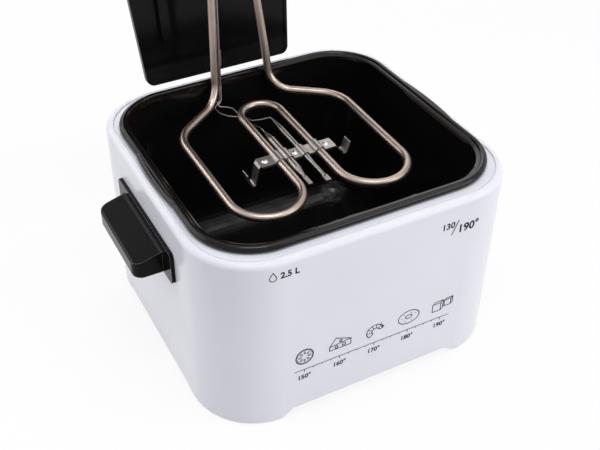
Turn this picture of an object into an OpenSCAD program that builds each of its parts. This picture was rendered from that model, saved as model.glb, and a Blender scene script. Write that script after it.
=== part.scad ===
// Small free-standing deep fryer. The control head with the heating element is lifted out of the
// oil pan along its own inclined line. X points right, Y to the back, Z up, in millimetres.

/* [Body] */
// Width of the white housing
body_w = 249; // [244:0.5:254]
// Depth of the white housing
body_d = 242; // [238:0.5:248]
// Height of the housing, from the table to the top of its lip
body_h = 152; // [150:0.5:158]
// Radius of the housing's upright corners
body_r = 50; // [48:0.5:52]
// Wall thickness of the housing
body_t = 3; // [2.4:0.1:3.4]
// Rounding of the housing's top edge
lip_r = 4; // [3:0.25:5]
// Height of the front and back skirt above the table
skirt_front_z = 8; // [6:0.5:9]
// Height of the side skirts above the table
skirt_side_z = 3.5; // [3:0.25:6]
// Height of the corner feet of the housing above the table
corner_z = 1.5; // [1:0.25:2.5]

/* [Pan] */
// Width of the white ledge on each side of the rim
ledge_side = 8; // [6.5:0.5:9.5]
// Width of the white ledge in front of the rim and behind it
ledge_front = 11.4; // [10:0.2:12.4]
// Corner radius of the rim
rim_r = 47; // [45:0.5:49]
// Radius of the rolled bead
bead_r = 2.8; // [2.4:0.1:3.1]
// Width of the rim, from the bead's outside to the wall's inside
rim_band = 8.4; // [8:0.2:9]
// Thickness of the enamelled steel
pan_t = 1.1; // [0.9:0.1:1.4]
// Height of the pan's inner floor above the table
floor_z = 21; // [19:0.5:21.5]
// How much the walls lean in, from the rim to the floor
pan_draft = 10; // [8:0.5:12]
// Radius between the floor and the walls
pan_fillet = 24; // [18:0.5:26]
// Length of the finger lugs on both sides of the rim
lug_len = 76; // [64:1:84]
// How far the lugs stand out beyond the rim
lug_out = 2.6; // [2:0.1:3]

/* [Heating element] */
// Diameter of the sheathed tube
tube_d = 6.5; // [6.2:0.1:6.8]
// Depth of the loops below the top of the housing while the head is lifted
loop_drop = 10; // [7:0.5:13]
// How much the loops dip towards the front
loop_tilt = 1.5; // [0:0.25:2.5]
// Distance of the outer straights from the side of the rim
outer_in = 44; // [42:0.5:47]
// Distance of the inner straights from the middle
inner_x = 17; // [16.5:0.25:18]
// Distance of the loops from the front of the rim
front_in = 48; // [45:0.5:52]
// Distance of each leg from the middle, at the loop
leg_x = 25.5; // [24:0.5:27]
// Distance of the legs from the back of the housing, at the loop
leg_in = 27.5; // [27:0.25:29]
// Distance of the middle hairpin from the legs
hairpin_in = 17; // [15:0.5:20]
// Distance of the shoulders' outer corners from the legs
shoulder_in = 34; // [32:0.5:38]
// Backward lean of the legs and of the line the head slides along
lean = 10; // [9:0.5:10.5]
// How far the legs close in towards the head, per unit of height
leg_close = 0.0755; // [0.06:0.005:0.085]

/* [Control head] */
// Width of the head
head_w = 148; // [146:0.5:152]
// Depth of the head
head_d = 72; // [70:0.5:76]
// Height of the head's housing
head_h = 46; // [44:0.5:50]
// Corner radius of the head
head_r = 16; // [14:0.5:18]
// Wall thickness of the head
head_t = 2.5; // [2.2:0.1:3]
// Height of the head's level underside above the loop
head_up = 119.5; // [118:0.5:124]
// Thickness of the hanging slide plate
plate_t = 5; // [4:0.25:6]
// Distance of the slide plate behind the legs
plate_y = 47; // [46.5:0.25:49]
// How much narrower than the head the slide plate's lower end is, on each side
plate_in = 7.5; // [6:0.25:9]
// Height of the slide plate's lower edge above the loop, along the legs
plate_z = 9.3; // [8:0.1:12]
// Depth of the two guide ribs on the slide plate
rib_h = 4.5; // [3.5:0.25:4.5]
// Diameter of the temperature knob
knob_d = 42; // [38:1:46]

/* [Handles] */
// Length of the flange against the housing
flange_len = 105; // [102:1:112]
// Height of the flange
flange_h = 26.5; // [25:0.5:28]
// Depth of the flange's upper edge below the top of the housing
flange_drop = 25; // [23:0.5:28]
// Length of the grip
grip_len = 78; // [74:1:82]
// How far the grip stands out from the housing
grip_out = 24.5; // [22:0.5:26]
// Height of the grip's outer edge
grip_h = 12.5; // [11:0.5:14]
// How much the top of the grip rises towards the housing
grip_rise = 4.5; // [3:0.5:5.5]

/* [Fits] */
// Radial clearance of turning and sliding shafts
run_gap = 0.05; // [0.02:0.01:0.09]
// Gap between pieces that are assembled face to edge
fit_gap = 0.3; // [0.2:0.05:0.4]

/* [Hidden] */
round_fn = 96;
small_fn = 48;
eps = 0.01;
weld = 0.05;
step = 0.005;

// Main sizes that follow the housing
rim_w = body_w - 2 * ledge_side;
rim_d = body_d - 2 * ledge_front;
loop_z = body_h - loop_drop;
outer_x = rim_w / 2 - outer_in;
front_y = rim_d / 2 - front_in;
leg_y = body_d / 2 - leg_in;
hairpin_y = leg_y - hairpin_in;
shoulder_y = leg_y - shoulder_in;
plate_w = head_w - 2 * plate_in;
flange_z = body_h - flange_drop - flange_h;

// Housing
lip_flat = 1.4;
groove_w = 1.6;
groove_deep = 0.8;
ledge_drop = 0.6;
ledge_t = 2.8;
ledge_z = body_h - ledge_drop;
seat_overlap = 2.9;
open_w = rim_w - 2 * seat_overlap;
open_d = rim_d - 2 * seat_overlap;
open_r = rim_r - seat_overlap;
skirt_x = 76;
skirt_slope = 10;
skirt_y = 66;
skirt_side_slope = 6;
base_z = 9.5;
base_t = 2;
boss_r = 5;
boss_top = 42;
boss_at = (body_r - body_t - boss_r + 0.8) * sqrt(0.5);
boss_x = body_w / 2 - body_r + boss_at;
boss_y = body_d / 2 - body_r + boss_at;
pad_x = 88;
pad_y = 84;
pad_r = 9;
pad_h = 3;
screw_r = 1.9;
screw_head_r = 3.6;
screw_head_h = 2.2;

// Pan
wall_u = rim_r - rim_band;
floor_u = wall_u - pan_draft;
rim_top = ledge_z + 2 * bead_r;
bead_u = rim_r - bead_r;
band_z = ledge_z + bead_r + 1.2;
lug_r = bead_r - 0.3;
lug_y = -2;

// Line of the head: a point given across, behind and along the legs
tube_r = tube_d / 2;
loop_r = (outer_x - inner_x) / 2;
function along(p) = [p[0], leg_y + p[1] * cos(lean) + p[2] * sin(lean),
                     loop_z - p[1] * sin(lean) + p[2] * cos(lean)];
function in_loop(x, y, z = 0) = [x, leg_y + (y - leg_y) * cos(loop_tilt) - z * sin(loop_tilt),
                                 loop_z + (y - leg_y) * sin(loop_tilt) + z * cos(loop_tilt)];
function leg_at(h, side) = along([side * (leg_x - leg_close * h), 0, h]);
shoulder_bend = 30;
leg_bend = 20;

// Where the legs cross the head's underside, counted along the legs
leg_head = head_up / cos(lean);

// Clamp with its two thermostat bulbs
clamp_y = (hairpin_y - front_y) / 2 - 7.5;
clamp_w = 12;
clamp_t = 1;
clamp_low_x = -33;
clamp_high_x = 31;
rivets_x = [-27.5, -2, 25];
rivet_r = 1.5;
bulb_x = -9.3;
bulb_r = 3.2;
thin_x = 4.6;
thin_r = 2.2;
clamp_gap = 0.05;
foot_w = 9;
foot_low = 16;
foot_r = 2.3;
capillary_r = 0.65;
wire_off = 4.3;
wire_gap = 1.2;
under = -4.8;

// Head
base_plate_t = 3;
collar_w = 62;
collar_d = 24;
collar_t = 1.5;
head_screw_len = 14;
head_mid_y = 20;
head_edge = 6;
bush_r = 6;
bush_x = leg_x - leg_close * leg_head;
wire_out = 10;
knob_y = 18;
knob_h = 15;
shaft_r = 3;
dial_r = 31;
dial_t = 0.8;
thermo_r = 17;
thermo_h = 18;
lamp_x = head_w / 2 - 22;
lamp_y = 2;
lamp_r = 4;
reset_x = head_w / 2 - 34;
reset_z = 24;
reset_r = 3.5;
gland_x = 30 - head_w / 2;
gland_z = 20;
gland_r = 6.5;
gland_bore = 3.75;
switch_x = head_w / 2 - 22;
switch_y = 9;
switch_w = 20;
switch_d = 10;
box_h = 14;
block_x = 16 - head_w / 2;
block_w = 34;
block_d = 16;
block_pitch = 11;
cutout_r = 10;
cutout_h = 20.5;
plunger_r = 2;
plunger_out = 5.2;
post_r = 3.6;
post_x = head_w / 2 - head_r;
post_y = head_d / 2 - 12;
rib_x = plate_w / 2 - 21.5;
rib_w = 8;
rib_low = 45;
plate_r = 7;
plate_close = 0.065;
plate_foot = plate_w / 2 - 14.5;
plate_screw_x = plate_w / 2 - 36.5;
rail_z0 = body_h - 106;
rail_z1 = body_h - 26;
rail_w = plate_w - 17;
rail_gap = 1;
plate_top = (head_up + plate_y * sin(lean)) / cos(lean);

// Handles
flange_t = 3;
flange_y = -1.5;
grip_r = 8;
grip_wall = 3;
grip_y = 1;
grip_z = flange_z + 0.5;
grip_blend = 3;
hollow_in = flange_t + 2;
hollow_w = grip_out - hollow_in - grip_wall;
handle_screw_y = 30;
handle_screw_z = grip_z + grip_h / 2;
hole_deep = 40;

// The origin is the middle of the footprint that the whole part covers
head_y = leg_y + head_up * tan(lean);
gland_out = 5;
back_y = head_y + head_mid_y + head_d / 2 + gland_out;
mid_y = (back_y - body_d / 2) / 2;

function unit(v) = v / norm(v);
function arc(c, r, a0, a1, n = 8) =
    [for (i = [0:n]) [c[0] + r * cos(a0 + (a1 - a0) * i / n), c[1] + r * sin(a0 + (a1 - a0) * i / n)]];

// Everything is drawn about the middle of the housing and then moved to the origin
module place() translate([0, -mid_y, 0]) children();

// The frame of the legs and of the slide plate: upright along the legs
module head_frame() place() translate([0, leg_y, loop_z]) rotate([-lean, 0, 0]) children();

// The dipping plane of the loops, turned about the foot of the legs
module loop_frame() place() translate([0, leg_y, loop_z]) rotate([loop_tilt, 0, 0])
    translate([0, -leg_y, -loop_z]) children();

// The level frame of the head's housing: its height 0 is the underside, over the legs
module head_box() place() translate([0, head_y, loop_z + head_up]) children();

// A section swept round a rectangle with round corners; its x starts at the corner's own axis
module ring_sweep(w, d, r) {
    ax = w / 2 - r;
    ay = d / 2 - r;
    for (q = [[1, 1, 0], [-1, 1, 90], [-1, -1, 180], [1, -1, 270]])
        translate([q[0] * ax, q[1] * ay, 0])
            rotate([0, 0, q[2]])
                rotate_extrude(angle = 90, $fn = round_fn) children();
    for (s = [0, 180]) rotate([0, 0, s]) {
        translate([ax, ay, 0]) rotate([90, 0, 0]) linear_extrude(2 * ay) children();
        translate([-ax, ay, 0]) rotate([90, 0, 90]) linear_extrude(2 * ax) children();
    }
}

// A solid slab with round corners
module slab(w, d, r, h) {
    translate([-w / 2 + r, -d / 2, 0]) cube([w - 2 * r, d, h]);
    translate([-w / 2, -d / 2 + r, 0]) cube([w, d - 2 * r, h]);
    for (x = [-1, 1], y = [-1, 1])
        translate([x * (w / 2 - r), y * (d / 2 - r), 0]) cylinder(r = r, h = h, $fn = round_fn);
}

// A straight round bar between two points; spin turns it about its own axis
module bar(a, b, r, spin = 0) {
    v = b - a;
    translate(a)
        rotate([0, acos(v[2] / norm(v)), atan2(v[1], v[0])])
            rotate([0, 0, spin]) cylinder(r = r, h = norm(v), $fn = small_fn);
}

// A bend at corner p, from direction t1 to direction t2
function bend_reach(t1, t2, rad) = rad * tan(acos(t1 * t2) / 2);
module bend(p, t1, t2, rad, r) {
    a = acos(t1 * t2);
    n = unit(t2 - (t2 * t1) * t1);
    c = p - t1 * bend_reach(t1, t2, rad) + n * rad;
    z = cross(-n, t1);
    multmatrix([[-n[0], t1[0], z[0], c[0]],
                [-n[1], t1[1], z[1], c[1]],
                [-n[2], t1[2], z[2], c[2]],
                [0, 0, 0, 1]])
        rotate_extrude(angle = a, $fn = small_fn)
            translate([rad, 0]) circle(r = r, $fn = small_fn);
}

// A round tube along corner points; rads gives the bend at each inner corner
module tube_path(p, rads, r) {
    n = len(p);
    t = [for (i = [0:n - 2]) unit(p[i + 1] - p[i])];
    reach = [for (i = [0:n - 1]) (i == 0 || i == n - 1) ? 0 : bend_reach(t[i - 1], t[i], rads[i - 1])];
    for (i = [0:n - 2]) {
        a = p[i] + t[i] * (reach[i] - (i == 0 ? 0 : weld));
        b = p[i + 1] - t[i] * (reach[i + 1] - (i == n - 2 ? 0 : weld));
        bar(a, b, r);
    }
    for (i = [1:n - 2]) bend(p[i], t[i - 1], t[i], rads[i - 1], r - step);
}

// A strip of sheet drawn edge-on along points
module strip(p, t) {
    for (i = [0:len(p) - 2]) {
        v = p[i + 1] - p[i];
        translate(p[i]) rotate(atan2(v[1], v[0])) translate([0, -t / 2]) square([norm(v), t]);
    }
    for (q = p) translate(q) circle(r = t / 2 + 0.03, $fn = small_fn);
}

module screw(r, head_r, head_h, len) {
    translate([0, 0, -head_h]) cylinder(r = head_r, h = head_h, $fn = small_fn);
    translate([0, 0, -eps]) cylinder(r = r, h = len, $fn = small_fn);
}

// ---------- housing ----------
module body_section() {
    o = body_r;
    polygon(concat(
        [[o - body_t, corner_z], [o, corner_z]],
        arc([o - lip_r, body_h - lip_r], lip_r, 0, 90, 10),
        [[o - lip_r - lip_flat, body_h],
         [o - lip_r - lip_flat - groove_w / 3, body_h - ledge_drop - groove_deep],
         [o - lip_r - lip_flat - groove_w * 2 / 3, body_h - ledge_drop - groove_deep],
         [o - lip_r - lip_flat - groove_w, ledge_z],
         [o - 22, ledge_z], [o - 22, ledge_z - ledge_t],
         [o - body_t - 3, ledge_z - ledge_t],
         [o - body_t, ledge_z - ledge_t - 3]]));
}

module skirt_cut(half, slope, high, reach) {
    rotate([90, 0, 0]) linear_extrude(2 * reach, center = true)
        polygon([[-half, -1], [-half, corner_z], [-half + slope, high], [half - slope, high],
                 [half, corner_z], [half, -1]]);
}

module handle_holes() {
    for (x = [-1, 1], y = [-1, 1])
        translate([x * body_w / 2, grip_y + y * handle_screw_y, handle_screw_z])
            rotate([0, 90, 0]) cylinder(r = screw_r + 0.2, h = 4 * body_t, center = true, $fn = small_fn);
}

guide_holes = [for (x = [-24, 24], z = [rail_z0 + 20, rail_z1 - 22]) [x, z]];

module outer_body() color("white") place() difference() {
    union() {
        ring_sweep(body_w, body_d, body_r) body_section();
        for (x = [-1, 1], y = [-1, 1])
            translate([x * boss_x, y * boss_y, base_z + base_t])
                cylinder(r = boss_r, h = boss_top, $fn = small_fn);
    }
    translate([0, 0, body_h - 8]) slab(open_w, open_d, open_r, 10);
    skirt_cut(skirt_x, skirt_slope, skirt_front_z, body_d);
    rotate([0, 0, 90]) skirt_cut(skirt_y, skirt_side_slope, skirt_side_z, body_w);
    for (x = [-1, 1], y = [-1, 1])
        translate([x * boss_x, y * boss_y, base_z]) cylinder(r = screw_r + 0.1, h = 16, $fn = small_fn);
    handle_holes();
    for (g = guide_holes)
        translate([g[0], body_d / 2, g[1]]) rotate([90, 0, 0])
            cylinder(r = screw_r + 0.1, h = 4 * body_t, center = true, $fn = small_fn);
}

slot_pitch = body_w / 15.5;
slot_w = body_w / 50;
slot_len = body_d / 5.5;
slot_y = body_d / 5.25;

module base_plate() color("dimgray") place() difference() {
    union() {
        translate([0, 0, base_z])
            slab(body_w - 2 * body_t - 2 * fit_gap, body_d - 2 * body_t - 2 * fit_gap,
                 body_r - body_t - fit_gap, base_t);
        for (x = [-1, 1], y = [-1, 1])
            translate([x * pad_x, y * pad_y, pad_h])
                cylinder(r = pad_r + 2, h = base_z - pad_h + eps, $fn = small_fn);
    }
    for (x = [-1, 1], y = [-1, 1])
        translate([x * boss_x, y * boss_y, base_z - 1]) cylinder(r = screw_r + 0.2, h = 5, $fn = small_fn);
    for (k = [-2.5:2.5], y = [-1, 1])
        translate([k * slot_pitch, y * slot_y, base_z - 1])
            slab(slot_w, slot_len, slot_w / 2 - 0.1, base_t + 2);
}

module base_screws() color("silver") place()
    for (x = [-1, 1], y = [-1, 1])
        translate([x * boss_x, y * boss_y, base_z]) screw(screw_r, screw_head_r, screw_head_h, 14);

module foot_pads() color("black") place()
    for (x = [-1, 1], y = [-1, 1])
        translate([x * pad_x, y * pad_y, 0]) {
            cylinder(r1 = pad_r - 0.8, r2 = pad_r, h = 0.8, $fn = small_fn);
            translate([0, 0, 0.8]) cylinder(r = pad_r, h = pad_h - 0.8, $fn = small_fn);
        }

// ---------- pan ----------
module pan_section() {
    wall_z = floor_z + pan_fillet;
    low = floor_u - pan_fillet;
    polygon(concat(
        [[0, floor_z], [0, floor_z - pan_t]],
        arc([low, wall_z], pan_fillet + pan_t, -90, -4, 10),
        [[wall_u + pan_t, band_z - 3.5], [wall_u + 2.6, band_z - pan_t - 0.4],
         [bead_u, band_z - pan_t + 0.4],
         [bead_u, band_z + 0.6], [wall_u + 2, band_z], [wall_u + 0.5, band_z - 0.8], [wall_u, band_z - 3]],
        arc([low, wall_z], pan_fillet, -4, -90, 10)));
    translate([bead_u, ledge_z + bead_r]) circle(r = bead_r, $fn = small_fn);
}

module pan() color("black") place() {
    ring_sweep(rim_w, rim_d, rim_r) pan_section();
    translate([0, 0, floor_z - pan_t])
        translate([-rim_w / 2 + rim_r - eps, -rim_d / 2 + rim_r - eps, 0])
            cube([rim_w - 2 * rim_r + 2 * eps, rim_d - 2 * rim_r + 2 * eps, pan_t]);
    for (s = [0, 1]) mirror([s, 0, 0]) lug();
}

// A second, thinner bar bows out of the bead to give the fingers a hold
module lug() {
    sweep = (lug_len * lug_len / 4 + lug_out * lug_out) / (2 * lug_out);
    turn = asin(lug_len / 2 / sweep);
    translate([rim_w / 2 - bead_r + lug_out - sweep, lug_y, ledge_z + bead_r]) rotate([0, 0, -turn])
        rotate_extrude(angle = 2 * turn, $fn = 2 * round_fn) translate([sweep, 0])
            circle(r = lug_r, $fn = small_fn);
}

// ---------- handles ----------
module grip_section() polygon(concat(
    [[0, grip_z], [grip_out - 1, grip_z], [grip_out, grip_z + 1], [grip_out, grip_z + grip_h - 1.5],
     [grip_out - 1.5, grip_z + grip_h]],
    arc([flange_t + grip_blend - 0.15, grip_z + grip_h + grip_rise + grip_blend], grip_blend, -75, -180, 6),
    [[0, grip_z + grip_h + grip_rise + grip_blend]]));

module handle_shape() difference() {
    union() {
        translate([body_w / 2, flange_y, flange_z + flange_h / 2]) rotate([0, 90, 0])
            slab(flange_h, flange_len, 3, flange_t);
        translate([body_w / 2, grip_y, 0]) intersection() {
            rotate([90, 0, 0]) linear_extrude(grip_len + 2, center = true) grip_section();
            translate([0, 0, grip_z - 1]) slab(2 * grip_out + 2 * eps, grip_len, grip_r, flange_h + 2);
        }
    }
    translate([body_w / 2 + hollow_in, grip_y - grip_len / 2 + grip_wall, grip_z - 1])
        cube([hollow_w, grip_len - 2 * grip_wall, grip_h - grip_wall + 1]);
    for (y = [-1, 1])
        translate([body_w / 2 - 1, grip_y + y * handle_screw_y, handle_screw_z])
            rotate([0, 90, 0]) cylinder(r = screw_r + 0.1, h = flange_t + 0.5, $fn = small_fn);
}

module left_handle() color("black") place() mirror([1, 0, 0]) handle_shape();
module right_handle() color("black") place() handle_shape();

module handle_screws() color("silver") place()
    for (x = [0, 1], y = [-1, 1])
        mirror([x, 0, 0])
            translate([body_w / 2 - body_t, grip_y + y * handle_screw_y, handle_screw_z])
                rotate([0, 90, 0]) screw(screw_r, screw_head_r, screw_head_h, body_t + flange_t - 1);

// ---------- rear guide ----------
// Back face of the guide: parallel to the slide plate, in front of it
function guide_y(z) = along([0, plate_y - rail_gap, 0])[1]
                      + (z - along([0, plate_y - rail_gap, 0])[2]) * tan(lean);

module head_guide() color("white") difference() {
    place() rotate([90, 0, 90]) linear_extrude(rail_w, center = true)
        polygon([[body_d / 2, rail_z0], [guide_y(rail_z0), rail_z0], [guide_y(rail_z1), rail_z1],
                 [body_d / 2, rail_z1]]);
    for (x = [-1, 1])
        head_frame()
            translate([x * rib_x - rib_w / 2 - 0.5, plate_y - rib_h - 0.8, -130])
                cube([rib_w + 1, 12, 160]);
    for (g = guide_holes) place() {
        translate([g[0], body_d / 2 - 1, g[1]]) rotate([-90, 0, 0])
            cylinder(r = screw_r + 0.2, h = hole_deep, $fn = small_fn);
        translate([g[0], body_d / 2 + 2.5, g[1]]) rotate([-90, 0, 0])
            cylinder(r = screw_head_r + 0.4, h = hole_deep, $fn = small_fn);
    }
}

module guide_screws() color("silver") place()
    for (g = guide_holes)
        translate([g[0], body_d / 2 + 2.5, g[1]]) rotate([90, 0, 0])
            screw(screw_r, screw_head_r, screw_head_h, 8);

// ---------- heating element ----------
module heating_element() color("tan") place() {
    a = leg_at(leg_head + 8, -1);
    b = leg_at(leg_head + 8, 1);
    half = [[-leg_x, leg_y], [-outer_x, shoulder_y], [-outer_x, -front_y], [-inner_x, -front_y],
            [-inner_x, hairpin_y]];
    path = concat([a], [for (q = half) in_loop(q[0], q[1])],
                  [for (i = [4:-1:0]) in_loop(-half[i][0], half[i][1])], [b]);
    turns = [leg_bend, shoulder_bend, loop_r, loop_r, inner_x];
    tube_path(path, concat(turns, [for (i = [4:-1:0]) turns[i]]), tube_r);
}

module leg_hole(r) place()
    for (s = [-1, 1]) bar(leg_at(leg_head - 15, s), leg_at(leg_head + 15, s), r, 77);

// Hole through which both capillaries enter the head
hole_reach = 10;
hole_r = 2.8;
module wire_hole() place()
    bar(beside_leg(leg_head - hole_reach, wire_out, 0), beside_leg(leg_head + hole_reach, wire_out, 0),
        hole_r, 45);

module element_flange() color("silver") difference() {
    head_box() translate([0, 0, -collar_t]) slab(collar_w, collar_d, 5, collar_t);
    leg_hole(bush_r + 0.1);
    wire_hole();
}

module leg_bushings() color("gold") difference() {
    union() {
        place() for (s = [-1, 1]) bar(leg_at(leg_head - 3.5, s), leg_at(leg_head + 6.5, s), bush_r, 160);
        difference() {
            place() for (s = [-1, 1])
                bar(leg_at(leg_head - 4, s), leg_at(leg_head + 3, s), bush_r + 1.5, 33);
            head_box() translate([-50, -30, -1.5]) cube([100, 60, 20]);
        }
    }
    leg_hole(tube_r + 0.02);
}

// ---------- clamp and bulbs ----------
module half_ring(x, r, up) {
    translate([x, 0]) intersection() {
        difference() {
            circle(r = r + clamp_gap + clamp_t, $fn = small_fn);
            circle(r = r + clamp_gap, $fn = small_fn);
        }
        translate([-20, up > 0 ? 0 : -20]) square([40, 20]);
    }
}

saddles = [[-inner_x, tube_r], [bulb_x, bulb_r], [thin_x, thin_r], [inner_x, tube_r]];
lands = [[clamp_low_x, -inner_x - tube_r - clamp_gap],
         [-inner_x + tube_r + clamp_gap, bulb_x - bulb_r - clamp_gap],
         [bulb_x + bulb_r + clamp_gap, thin_x - thin_r - clamp_gap],
         [thin_x + thin_r + clamp_gap, inner_x - tube_r - clamp_gap],
         [inner_x + tube_r + clamp_gap, clamp_high_x]];

module clamp_section(up) {
    for (s = saddles) half_ring(s[0], s[1], up);
    for (l = lands) translate([l[0], up > 0 ? 0 : -clamp_t]) square([l[1] - l[0], clamp_t]);
}

// A section of the clamp, given width w along the tubes
module clamp_extrude(w) loop_frame()
    translate([0, clamp_y + w / 2, loop_z]) rotate([90, 0, 0]) linear_extrude(w) children();

module rivet_holes() loop_frame()
    for (x = rivets_x) translate([x, clamp_y, loop_z - 3])
        cylinder(r = rivet_r + 0.05, h = 6, $fn = small_fn);

// A foot of the clamp: down from its end, round a hook and up again; out is how far it splays
module foot_section(out, low, high) {
    hook = foot_r;
    strip(concat([[0, clamp_t / 2], [1.2, -1]],
                 arc([out + hook, hook - low], hook, 180, 350, 7),
                 [[out + 2 * hook + high * 0.3, hook - low + high]]), clamp_t);
}

module clamp_upper() color("silver") difference() {
    union() {
        clamp_extrude(clamp_w) clamp_section(1);
        clamp_extrude(foot_w) {
            translate([clamp_low_x, 0]) mirror([1, 0]) foot_section(3.5, foot_low, 8.5);
            translate([clamp_high_x, 0]) foot_section(7, foot_low - 5.5, 7);
        }
    }
    rivet_holes();
}

module clamp_lower() color("silver") difference() {
    clamp_extrude(clamp_w) intersection() {
        clamp_section(-1);
        translate([clamp_low_x + 2, -10]) square([clamp_high_x - clamp_low_x - 4, 20]);
    }
    rivet_holes();
}

module clamp_rivets() color("lightgray") loop_frame()
    for (x = rivets_x) translate([x, clamp_y, loop_z]) {
        cylinder(r = rivet_r, h = 2 * clamp_t + eps, center = true, $fn = small_fn);
        for (m = [0, 1]) mirror([0, 0, m]) translate([0, 0, clamp_t]) intersection() {
            translate([0, 0, -2.2]) sphere(r = 3.5, $fn = small_fn);
            cylinder(r = 4, h = 4, $fn = small_fn);
        }
    }

// A bulb along Y: body from y0 forward to y1, tapered to both ends
module bulb(x, r, y0, y1, taper, tip) {
    translate([x, y0, loop_z]) rotate([90, 0, 0]) cylinder(r = r, h = y0 - y1, $fn = small_fn);
    translate([x, y0, loop_z]) rotate([-90, 0, 0])
        cylinder(r1 = r, r2 = capillary_r + 0.4, h = taper, $fn = small_fn);
    translate([x, y1, loop_z]) rotate([90, 0, 0]) cylinder(r1 = r, r2 = 1.1, h = taper, $fn = small_fn);
    translate([x - 1.7, y1 - taper - tip, loop_z - 0.6]) cube([3.4, tip + 0.5, 1.2]);
}

bulb_back = clamp_y + 24.5;
bulb_front = clamp_y - 18;
bulb_taper = 11;
bulb_tip = 10;
thin_back = clamp_y + 34.5;
thin_front = clamp_y - 10;
thin_taper = 13;
thin_stem = 19;
thin_tip = 7;

module thermostat_bulb() color("silver") loop_frame()
    bulb(bulb_x, bulb_r, bulb_back, bulb_front, bulb_taper, bulb_tip);

module cutout_bulb() color("silver") loop_frame() {
    bulb(thin_x, thin_r, thin_back, thin_front, thin_taper, 0.2);
    translate([thin_x, thin_front - 6, loop_z]) rotate([90, 0, 0])
        cylinder(r = 1.5, h = thin_stem, $fn = small_fn);
    translate([thin_x - 2.2, thin_front - 5 - thin_stem - thin_tip, loop_z - 0.7])
        cube([4.4, thin_tip, 1.4]);
}

// Height above the loop at which the capillaries leave the leg
function beside_leg(h, dx, dy) = along([-(leg_x - leg_close * h) + dx, dy, h]);

module thermostat_capillary() color("silver") place()
    tube_path([beside_leg(leg_head + 8, wire_out, wire_gap), beside_leg(leg_head - 12, wire_out, wire_gap),
               beside_leg(leg_head - 22, wire_off, wire_gap), beside_leg(14, wire_off, wire_gap),
               in_loop(-22.5, leg_y, 1), in_loop(-28.3, leg_y - 3.2, -3.2),
               in_loop(-26.5, leg_y - 9.8, under),
               in_loop(-22, hairpin_y + 0.5, under), in_loop(-15.5, hairpin_y - 4, under),
               in_loop(bulb_x - 1, hairpin_y - 19, under), in_loop(bulb_x, bulb_back + bulb_taper + 7, 0),
               in_loop(bulb_x, bulb_back + bulb_taper - eps, 0)],
              [4, 4, 4, 4, 2, 2.5, 4, 4, 4, 3], capillary_r);

module cutout_capillary() color("silver") place()
    tube_path([beside_leg(leg_head + 8, wire_out, -wire_gap),
               beside_leg(leg_head - 12, wire_out, -wire_gap),
               beside_leg(leg_head - 22, wire_off, -wire_gap), beside_leg(14, wire_off, -wire_gap),
               in_loop(-22, leg_y - 2.7, 2), in_loop(-27, leg_y - 4.4, -1), in_loop(-18.7, leg_y - 6.2, -3),
               in_loop(-15, leg_y - 9.4, -3.2), in_loop(-12.9, hairpin_y - 2.5, under),
               in_loop(-8.2, hairpin_y - 14, under), in_loop(-1.9, hairpin_y - 18.5, -3),
               in_loop(thin_x, thin_back + thin_taper + 6, 0),
               in_loop(thin_x, thin_back + thin_taper - eps, 0)],
              [4, 4, 4, 4, 1.5, 1.5, 3, 4, 4, 4, 2.5], capillary_r);

// A short sleeve on the leg holds both capillaries
module capillary_clip() color("silver") place() {
    h0 = 31;
    h1 = 44;
    difference() {
        for (dy = [-wire_gap, wire_gap])
            bar(beside_leg(h0, wire_off, dy), beside_leg(h1, wire_off, dy), capillary_r + 0.75);
        bar(leg_at(h0 - 20, -1), leg_at(h1 + 30, -1), tube_r + 0.02);
        for (dy = [-wire_gap, wire_gap])
            bar(beside_leg(h0 - 12, wire_off, dy), beside_leg(h1 + 20, wire_off, dy), capillary_r + 0.02);
    }
}

// ---------- control head ----------
module shell_section() {
    o = head_r;
    polygon(concat([[o - head_t, 0], [o, 0]],
                   arc([o - head_edge, head_h - head_edge], head_edge, 0, 90, 8),
                   [[0, head_h], [0, head_h - head_t]],
                   arc([o - head_edge, head_h - head_edge], head_edge - head_t, 90, 0, 6)));
}

module head_shell() color("black") head_box() translate([0, head_mid_y, 0]) difference() {
    union() {
        ring_sweep(head_w, head_d, head_r) shell_section();
        translate([-head_w / 2 + head_r - eps, -head_d / 2 + head_r - eps, head_h - head_t])
            cube([head_w - 2 * head_r + 2 * eps, head_d - 2 * head_r + 2 * eps, head_t]);
        for (x = [-1, 1], y = [-1, 1])
            translate([x * post_x, y * post_y, base_plate_t])
                cylinder(r = post_r, h = head_h - base_plate_t - 1, $fn = small_fn);
    }
    for (x = [-1, 1], y = [-1, 1])
        translate([x * post_x, y * post_y, 0]) cylinder(r = 1.7, h = 20, $fn = small_fn);
    translate([0, knob_y - head_mid_y, head_h - 5]) cylinder(r = shaft_r + 0.4, h = 10, $fn = small_fn);
    for (s = [-1, 1])
        translate([s * lamp_x, lamp_y - head_mid_y, head_h - 5])
            cylinder(r = lamp_r + 0.05, h = 10, $fn = small_fn);
    translate([reset_x, head_d / 2 - 6, reset_z]) rotate([-90, 0, 0])
        cylinder(r = reset_r + run_gap, h = 10, $fn = small_fn);
    translate([gland_x, head_d / 2 - 6, gland_z]) rotate([-90, 0, 0])
        cylinder(r = gland_r + 0.1, h = 10, $fn = small_fn);
}

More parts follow.
